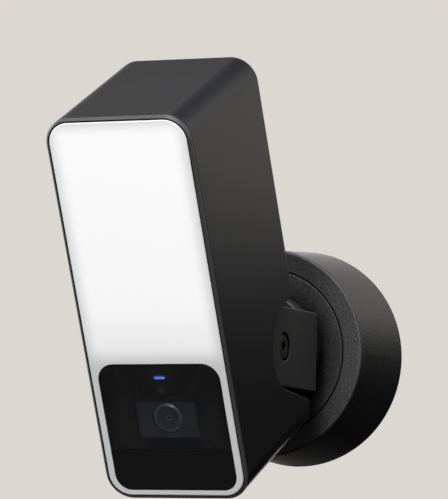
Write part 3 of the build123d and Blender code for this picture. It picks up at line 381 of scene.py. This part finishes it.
# places and sizes on the head's front, in metres; heights count from its middle
front = {
    "lightBoxLow": -0.0275, "lightBoxHigh": 0.1102, "lightBoxWide": 0.0790,
    "statusUp": -0.0401, "statusWide": 0.0072, "statusHigh": 0.0024,
    "windowUp": -0.0658, "split": -0.0837,
}
middleUp = frontCentre.dot(upward)


def opalMaterial(look):
    # opal cover: faintly clouded white, with a painted glow shaped like the light box behind it
    material, tree, shader = newMaterial("opalCover")
    grain = placeGrain(tree, look)
    low, high = front["lightBoxLow"], front["lightBoxHigh"]
    paintedGlowBox = placeGroup(tree, headBox, **{
        "Middle": middleUp + (low + high) / 2, "Half Width": front["lightBoxWide"] / 2,
        "Half Height": (high - low) / 2, "Soft": look["soft"]})
    # the painted glow fades towards the panel's lower end
    fade = addNode(tree, "ShaderNodeMapRange", {
        "Value": heightOnHead(tree, objectPlace(tree), tuple(upward)),
        "From Min": middleUp + low, "From Max": middleUp + low + look["fadeHigh"],
        "To Min": look["fade"], "To Max": 1.0}, interpolation_type="SMOOTHSTEP")
    level = calc(tree, "MULTIPLY", paintedGlowBox.outputs["Mask"], fade.outputs[0])
    glow = blendColour(tree, level, grey(look["dim"]), look["glow"])
    body = blendColour(tree, grain.outputs["Tone"], look["dark"], look["light"])
    bump = addNode(tree, "ShaderNodeBump", {
        "Strength": look["bump"], "Distance": look["depth"], "Height": grain.outputs["Height"]})
    tree.links.new(body, shader.inputs["Base Color"])
    tree.links.new(grain.outputs["Roughness"], shader.inputs["Roughness"])
    tree.links.new(bump.outputs[0], shader.inputs["Normal"])
    tree.links.new(glow, shader.inputs["Emission Color"])
    shader.inputs["Emission Strength"].default_value = look["strength"]
    return material


# painted glow: glow, dim and strength set an emission on the cover itself
materials["opalCover"] = opalMaterial(dict(
    dark=grey(0.80), light=grey(0.84), rough=0.4, spread=0.06, grain=2600.0, mottleSize=300.0, cloud=9.0,
    mottle=0.1, bump=0.06, depth=0.0001, glow=grey(1.0), dim=0.04, soft=0.014, fade=0.75, fadeHigh=0.035,
    strength=0.40))


def glassMaterial(name, look):
    # faint smears in tint and roughness
    material, tree, shader = newMaterial(name)
    smear = placeGrain(tree, look)
    tint = blendColour(tree, smear.outputs["Tone"], look["dark"], look["light"])
    tree.links.new(tint, shader.inputs["Base Color"])
    tree.links.new(smear.outputs["Roughness"], shader.inputs["Roughness"])
    shader.inputs["Transmission Weight"].default_value = look["clear"]
    shader.inputs["IOR"].default_value = look["ior"]
    return material


smears = dict(grain=900.0, mottleSize=200.0, cloud=26.0, mottle=0.1)
glasses = {
    "panelGlass": dict(smears, dark=grey(0.80, cool), light=grey(0.86, cool),
                       rough=0.03, spread=0.03, clear=1.0, ior=1.50),
    "motionBlack": dict(smears, dark=grey(0.006, cool), light=grey(0.009, cool),
                        rough=0.10, spread=0.05, clear=0.0, ior=1.50),
    "lensGlass": dict(smears, dark=(0.55, 0.68, 0.9, 1), light=(0.65, 0.76, 0.95, 1),
                      rough=0.01, spread=0.01, clear=1.0, ior=1.62),
}
materials.update({name: glassMaterial(name, look) for name, look in glasses.items()})


def statusMaterial(look):
    # status light: bright core that darkens towards the rim of its slot
    material, tree, shader = newMaterial("statusBlue")
    core = placeGroup(tree, headBox, **{
        "Middle": middleUp + front["statusUp"] - look["drop"],
        "Half Width": front["statusWide"] / 2 - look["inset"],
        "Half Height": front["statusHigh"] / 2 - look["inset"], "Soft": look["soft"]})
    noise = addNode(tree, "ShaderNodeTexNoise", {"Vector": objectPlace(tree), "Scale": look["grain"]})
    uneven = calc(tree, "ADD", noise.outputs[0], look["least"])
    level = calc(tree, "MULTIPLY", core.outputs["Mask"], uneven, clamp=True)
    colour = blendColour(tree, level, look["edge"], look["core"])
    tree.links.new(colour, shader.inputs["Base Color"])
    tree.links.new(colour, shader.inputs["Emission Color"])
    shader.inputs["Emission Strength"].default_value = look["strength"]
    shader.inputs["Roughness"].default_value = look["rough"]
    return material


materials["statusBlue"] = statusMaterial(dict(
    edge=(0.004, 0.03, 0.18, 1), core=(0.11, 0.31, 1.0, 1), inset=0.0005, drop=0.0002, soft=0.0010,
    grain=500.0, least=0.4, rough=0.3, strength=0.65))
print("materials made:", len(materials))

finishes = {
    "headCoat": ["head_sleeve", "rear_housing"],
    "trimCoat": ["front_trim"],
    "armCoat": ["hinge_arm", "hinge_lug"],
    "discCoat": ["swivel_disc"],
    "mountPlastic": ["mount_cover"],
    "blackPlastic": ["glass_mask", "lens_holder", "speaker"],
    "slatePlastic": ["camera_carrier"],
    "lensBlack": ["lens_barrel"],
    "rubberBlack": ["wall_gasket", "cable_grommet", "front_seal"],
    "zincSteel": ["wall_bracket", "driver_posts", "retaining_ring", "retainer_screws", "driver_screws",
                  "arm_screws", "lug_screws", "board_screws", "radio_shield", "motion_sensor",
                  "microphone"],
    "blackSteel": ["hinge_screws", "rear_screws", "lock_screw"],
    "bareAluminium": ["heat_sink"],
    "brassNickel": ["terminal_screws"],
    "whitePlastic": ["slip_washer", "friction_washers", "light_box"],
    "greyPlastic": ["terminal_block"],
    "boardGreen": ["driver_board", "front_board", "main_board", "image_sensor_board"],
    "boardWhite": ["led_board"],
    "chipBlack": ["transformer", "driver_capacitors", "board_chips"],
    "ledPhosphor": ["floodlight_leds"],
    "opalCover": ["diffuser"],
    "panelGlass": ["front_glass"],
    "motionBlack": ["motion_lens"],
    "lensGlass": ["lens_glass", "lens_rear_element"],
    "statusBlue": ["status_light_pipe"],
    "duskWindow": ["dusk_light_pipe"],
}
for finish, names in finishes.items():
    for name in names:
        mesh = nodes[name].data
        mesh.materials.clear()
        mesh.materials.append(materials[finish])
print("finishes set on", sum(len(names) for names in finishes.values()), "nodes")


# new pieces: surfaces worked out on grids
def addSurface(name, points, faces, finish, body):
    mesh = bpy.data.meshes.new(name)
    mesh.from_pydata(points.tolist(), [], faces.tolist())
    mesh.materials.append(materials[finish])
    piece = bpy.data.objects.new(name, mesh)
    bpy.context.scene.collection.objects.link(piece)
    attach(piece, body)


def loopFaces(rows, columns):
    # quads between neighbouring rows of a grid whose last column joins the first
    row, column = np.meshgrid(np.arange(rows - 1), np.arange(columns), indexing="ij")
    nextColumn = (column + 1) % columns
    quads = np.stack([row * columns + column, row * columns + nextColumn,
                      (row + 1) * columns + nextColumn, (row + 1) * columns + column], axis=-1)
    return quads.reshape(-1, 4)


def ringFaces(rows, columns):
    # the same with the last row joined to the first, as on a ring
    return loopFaces(rows + 1, columns) % (rows * columns)


def turnedPiece(name, turned, finish):
    # closed profile (r, depth) turned about the lens line: across = r cos a, up = r sin a, depth kept
    profile = np.array(turned["profile"])
    angle = np.linspace(0, 2 * pi, turned["around"], endpoint=False)
    radius, depth = profile[:, 0][:, None], profile[:, 1][:, None]
    up = turned["up"] + radius * np.sin(angle)
    shape = np.stack([radius * np.cos(angle), depth + 0 * angle, up], axis=-1)
    faces = ringFaces(len(profile), turned["around"])
    addSurface(name, toHead(shape.reshape(-1, 3)), faces, finish, "head")


# lens front: a bevelled bezel on the barrel's front ring, and a shallow dish and small iris over its mouth;
# bezel and iris are pale grey, a painted highlight on the ring and round the pupil
lensFront = {"up": front["windowUp"], "around": 96}
bezel = dict(lensFront, profile=[
    (0.0071, 0.0038), (0.0072, 0.0034), (0.0075, 0.0033),
    (0.0087, 0.0041), (0.0089, 0.0046), (0.0085, 0.0046)])
dish = dict(lensFront, steps=4, outer=0.00715, inner=0.0017, front=0.0037, deep=0.0007, skin=0.0003)
iris = dict(lensFront, profile=[
    (0.0008, 0.0047), (0.0009, 0.0044), (0.0013, 0.0042),
    (0.0017, 0.0042), (0.0018, 0.0046), (0.0012, 0.0048)])


def dishProfile(s):
    # even steps: radius falls by one tread as depth grows by one riser; the back follows a skin behind
    level = np.repeat(np.arange(s["steps"] + 1), 2)
    tread = level[1:] / s["steps"]
    riser = level[:-1] / s["steps"]
    radius = s["outer"] + (s["inner"] - s["outer"]) * tread
    face = np.stack([radius, s["front"] + s["deep"] * riser], axis=-1)
    return np.vstack([face, face[::-1] + np.array([0, s["skin"]])])


dish["profile"] = dishProfile(dish)
turnedPiece("lens_bezel", bezel, "bezelPaintedHighlight")
turnedPiece("lens_dish", dish, "dishSlate")
turnedPiece("lens_iris", iris, "bezelPaintedHighlight")

# bands round the head: the seal between diffuser and trim, and the black strip in the groove behind the trim
rim = {"cornerSteps": 20, "sideSteps": 24, "around": 7, "arch": 0.4}
seamBand = dict(rim, halfWide=0.04192, halfHigh=0.11252, corner=0.01302,
                half=0.00047, front=-0.00005, deep=0.0010)
grooveBand = dict(rim, halfWide=0.0434, halfHigh=0.1140, corner=0.0145,
                  half=0.00032, front=0.00204, deep=0.00266)


def rimBand(name, s):
    # path: a rounded rectangle walked corner by corner; each point is centre + corner (cos a, sin a)
    points, outs = [], []
    for turn, (sx, sz) in enumerate(((1, 1), (-1, 1), (-1, -1), (1, -1))):
        centre = np.array([sx * (s["halfWide"] - s["corner"]), sz * (s["halfHigh"] - s["corner"])])
        angle = (turn + np.linspace(0, 1, s["cornerSteps"])) * pi / 2
        out = np.stack([np.cos(angle), np.sin(angle)], axis=-1)
        points.append(centre + s["corner"] * out)
        outs.append(out)
    # straight runs between the corners, in even steps
    path, normal = [], []
    for k in range(4):
        path.append(points[k])
        normal.append(outs[k])
        start, end = points[k][-1], points[(k + 1) % 4][0]
        share = np.linspace(0, 1, s["sideSteps"] + 2)[1:-1, None]
        path.append(start + (end - start) * share)
        normal.append(np.repeat(outs[k][-1][None], s["sideSteps"], axis=0))
    path, normal = np.vstack(path), np.vstack(normal)
    # section: a flat arch, arch x half high, in front and square behind
    angle = np.linspace(pi, 0, s["around"])
    side = np.concatenate([s["half"] * np.cos(angle), [s["half"], -s["half"]]])
    arch = s["front"] + s["arch"] * s["half"] * (1 - np.sin(angle))
    depth = np.concatenate([arch, [s["deep"], s["deep"]]])
    place = path[:, None, :] + normal[:, None, :] * side[None, :, None]
    shape = np.stack([place[..., 0], depth[None, :] + 0 * place[..., 0], place[..., 1]], axis=-1)
    faces = ringFaces(*shape.shape[:2])
    addSurface(name, toHead(shape.reshape(-1, 3)), faces, "rubberBlack", "head")


rimBand("seam_band", seamBand)
rimBand("groove_band", grooveBand)

# joint bead: black filler between the glass and the motion cover, round in front, run across the panel
bead = {"wide": 0.0735, "half": 0.00017, "front": -0.00016, "deep": 0.0011, "along": 40, "around": 12}


def jointBead(s):
    # section: across the joint by half cos a, and out of it by an arch of half sin a
    angle = np.linspace(0, pi, s["around"])
    up = np.concatenate([s["half"] * np.cos(angle), [-s["half"], s["half"]]])
    depth = np.concatenate([s["front"] + s["half"] * (1 - np.sin(angle)), [s["deep"], s["deep"]]])
    run = np.linspace(-s["wide"] / 2, s["wide"] / 2, s["along"])[:, None]
    shape = np.stack([run + 0 * up, depth + 0 * run, front["split"] + up + 0 * run], axis=-1)
    faces = loopFaces(s["along"], len(up))
    addSurface("panel_joint", toHead(shape.reshape(-1, 3)), faces, "rubberBlack", "head")


jointBead(bead)
print("new pieces: lens_bezel, lens_dish, lens_iris, seam_band, groove_band, panel_joint")


# light and surroundings
studio = {
    "backdrop": srgb(219, 215, 209),
    "skyTop": 0.30,
    "skySide": 0.06,
    "skyLow": 0.02,
    "skyHeights": (-0.6, 0.15, 0.9),
    "floorGlow": 0.65,
    "floorTone": 0.35,
    "floorDrop": 0.35,
    "floorSize": 30.0,
}


def makeWorld(s):
    # soft light that grows with height; camera, gloss and glass see the plain backdrop
    world = bpy.data.worlds.new("studio")
    world.use_nodes = True
    bpy.context.scene.world = world
    tree = world.node_tree
    tree.nodes.clear()
    out = tree.nodes.new("ShaderNodeOutputWorld")
    ray = addNode(tree, "ShaderNodeTexCoord").outputs["Generated"]
    height = addNode(tree, "ShaderNodeSeparateXYZ", {0: ray}).outputs[2]
    lowest, middle, highest = s["skyHeights"]
    low = addNode(tree, "ShaderNodeMapRange", {
        "Value": height, "From Min": lowest, "From Max": middle,
        "To Min": s["skyLow"], "To Max": s["skySide"]})
    high = addNode(tree, "ShaderNodeMapRange", {
        "Value": height, "From Min": middle, "From Max": highest,
        "To Min": 0.0, "To Max": s["skyTop"] - s["skySide"]})
    level = calc(tree, "ADD", low.outputs[0], high.outputs[0])
    soft = addNode(tree, "ShaderNodeBackground", {"Strength": level})
    plain = addNode(tree, "ShaderNodeBackground", {"Color": s["backdrop"], "Strength": 1.0})
    path = addNode(tree, "ShaderNodeLightPath").outputs
    seen = calc(tree, "MAXIMUM", calc(tree, "MAXIMUM", path["Is Camera Ray"], path["Is Glossy Ray"]),
                path["Is Transmission Ray"])
    mix = addNode(tree, "ShaderNodeMixShader", {0: seen, 1: soft.outputs[0], 2: plain.outputs[0]})
    tree.links.new(mix.outputs[0], out.inputs[0])


corners = ((-1, -1), (1, -1), (1, 1), (-1, 1))


def flatPiece(name, points):
    mesh = bpy.data.meshes.new(name)
    mesh.from_pydata(points, [], [(0, 1, 2, 3)])
    piece = bpy.data.objects.new(name, mesh)
    bpy.context.scene.collection.objects.link(piece)
    return piece


def makeFloor(s):
    half, level = s["floorSize"] / 2, -s["floorDrop"]
    floor = flatPiece("floor", [(x * half, y * half, level) for x, y in corners])
    material, tree, shader = newMaterial("paleFloor")
    shader.inputs["Base Color"].default_value = [c * s["floorTone"] for c in s["backdrop"][:3]] + [1.0]
    shader.inputs["Emission Color"].default_value = s["backdrop"]
    shader.inputs["Emission Strength"].default_value = s["floorGlow"]
    shader.inputs["Roughness"].default_value = 1.0
    shader.inputs["Specular IOR Level"].default_value = 0.0
    # seen from below it is clear, so that a low view still shows the object
    under = tree.nodes.new("ShaderNodeNewGeometry").outputs["Backfacing"]
    clear = tree.nodes.new("ShaderNodeBsdfTransparent")
    mix = addNode(tree, "ShaderNodeMixShader", {0: under, 1: shader.outputs[0], 2: clear.outputs[0]})
    tree.links.new(mix.outputs[0], tree.nodes["Material Output"].inputs["Surface"])
    floor.data.materials.append(material)
    floor.visible_diffuse = False


# cards off camera, as round a dark product: only gloss and glass see them
cards = {
    "rightCard": dict(place=(0.42, 0.36, -0.13), aim=(0.10, -0.30, -0.13), size=(1.10, 0.50), tone=0.01),
    "lowCard": dict(place=(0.0, -0.2, -0.30), aim=(0.0, -0.2, 0.0), size=(2.2, 2.2), tone=0.012),
    "panelCard": dict(place=(-0.10, -0.60, -0.28), aim=(-0.10, -0.60, 0.0), size=(1.0, 0.7), tone=0.06),
    "topCard": dict(place=(-0.42, 0.45, 0.85), aim=(0.0, -0.22, 0.12), size=(0.70, 0.60), tone=0.17),
    "bandCard": dict(place=(0.12, 0.32, 0.85), aim=(0.0, -0.22, 0.12), size=(0.54, 0.80), tone=0.01),
}


def facing(place, aim):
    turn = (Vector(aim) - Vector(place)).to_track_quat("-Z", "Y").to_matrix().to_4x4()
    return Matrix.Translation(place) @ turn


def makeCard(name, card):
    half = np.array(card["size"]) / 2
    turn = facing(card["place"], card["aim"])
    piece = flatPiece(name, [turn @ Vector((x * half[0], y * half[1], 0)) for x, y in corners])
    material, tree, shader = newMaterial(name + "Tone")
    shader.inputs["Base Color"].default_value = grey(0.0)
    shader.inputs["Specular IOR Level"].default_value = 0.0
    shader.inputs["Emission Color"].default_value = grey(1.0)
    shader.inputs["Emission Strength"].default_value = card["tone"]
    piece.data.materials.append(material)
    piece.visible_camera = piece.visible_diffuse = piece.visible_shadow = False


lamps = {
    "frontSoftbox": dict(place=(0.02, -2.2, 0.5), aim=(0.0, -0.2, 0.0), size=(1.0, 1.2), power=33.0),
    "keySoftbox": dict(place=(0.55, 0.25, 0.75), aim=(0.0, -0.15, 0.02), size=(0.5, 0.5), power=0.45),
    "topSoftbox": dict(place=(0.15, -0.9, 1.5), aim=(0.0, -0.1, 0.0), size=(0.8, 0.6), power=25.0),
    "rearSoftbox": dict(place=(-0.8, 2.0, 0.25), aim=(0.0, -0.1, 0.0), size=(1.0, 1.0), power=10.0),
    "leftSoftbox": dict(place=(-2.0, -0.4, 0.5), aim=(0.0, -0.1, 0.0), size=(1.0, 1.0), power=8.0),
    "topStrip": dict(place=(0.1, 0.2, 1.6), aim=(0.0, -0.1, 0.0), size=(1.4, 0.6), power=4.0),
}


def makeLamp(name, lamp):
    data = bpy.data.lights.new(name, "AREA")
    data.shape = "RECTANGLE"
    data.size, data.size_y = lamp["size"]
    data.energy = lamp["power"]
    light = bpy.data.objects.new(name, data)
    light.matrix_world = facing(lamp["place"], lamp["aim"])
    light.visible_camera = False
    bpy.context.scene.collection.objects.link(light)


makeWorld(studio)
makeFloor(studio)
for name, card in cards.items():
    makeCard(name, card)
for name, lamp in lamps.items():
    makeLamp(name, lamp)
print("studio ready")
